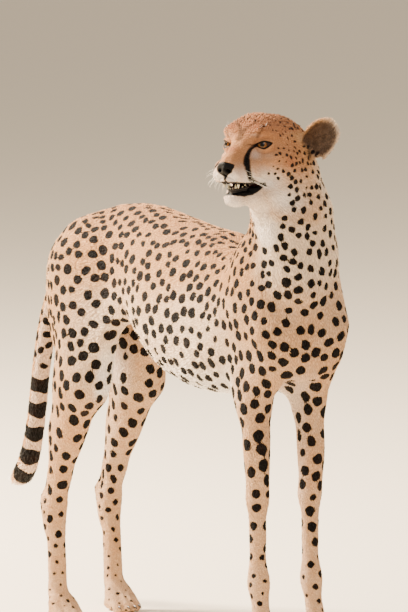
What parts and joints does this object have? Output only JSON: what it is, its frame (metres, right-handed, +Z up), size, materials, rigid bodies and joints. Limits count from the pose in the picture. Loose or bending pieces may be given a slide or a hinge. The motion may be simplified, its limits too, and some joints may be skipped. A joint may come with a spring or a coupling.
{
  "type": "cheetah",
  "caption": "Life-size standing cheetah with its head turned to one side, mouth a little open, as a still model.",
  "frame": {"origin": "middle of the base of the whole model's box, on the floor", "axes": "+X towards the front of the body, +Y to its left, +Z up"},
  "size_m": [1.1076, 0.3302, 1.0072],
  "materials": {
    "coat": "short tan fur with black spots",
    "pale_coat": "short cream fur",
    "black_skin": "moist black skin of the nose and lips",
    "eye": "wet amber eye",
    "tooth": "ivory enamel",
    "tongue": "moist pink-red",
    "claw": "dark horn"
  },
  "bodies": {
    "root": {"trunk": "coat", "neck": "coat", "head": "coat", "ear_left": "coat", "ear_right": "coat", "foreleg_left": "coat", "foreleg_right": "coat", "forepaw_left": "coat", "forepaw_right": "coat", "hindleg_left": "coat", "hindleg_right": "coat", "hindpaw_left": "coat", "hindpaw_right": "coat", "tail_base": "coat", "tail_middle": "coat", "tail_tip": "coat", "lower_jaw": "pale_coat", "nose": "black_skin", "eye_left": "eye", "eye_right": "eye", "upper_teeth": "tooth", "lower_teeth": "tooth", "tongue": "tongue", "claw_fore_left_1": "claw", "claw_fore_left_2": "claw", "claw_fore_left_3": "claw", "claw_fore_left_4": "claw", "claw_fore_right_1": "claw", "claw_fore_right_2": "claw", "claw_fore_right_3": "claw", "claw_fore_right_4": "claw", "claw_hind_left_1": "claw", "claw_hind_left_2": "claw", "claw_hind_left_3": "claw", "claw_hind_left_4": "claw", "claw_hind_right_1": "claw", "claw_hind_right_2": "claw", "claw_hind_right_3": "claw", "claw_hind_right_4": "claw"}
  },
  "joints": []
}
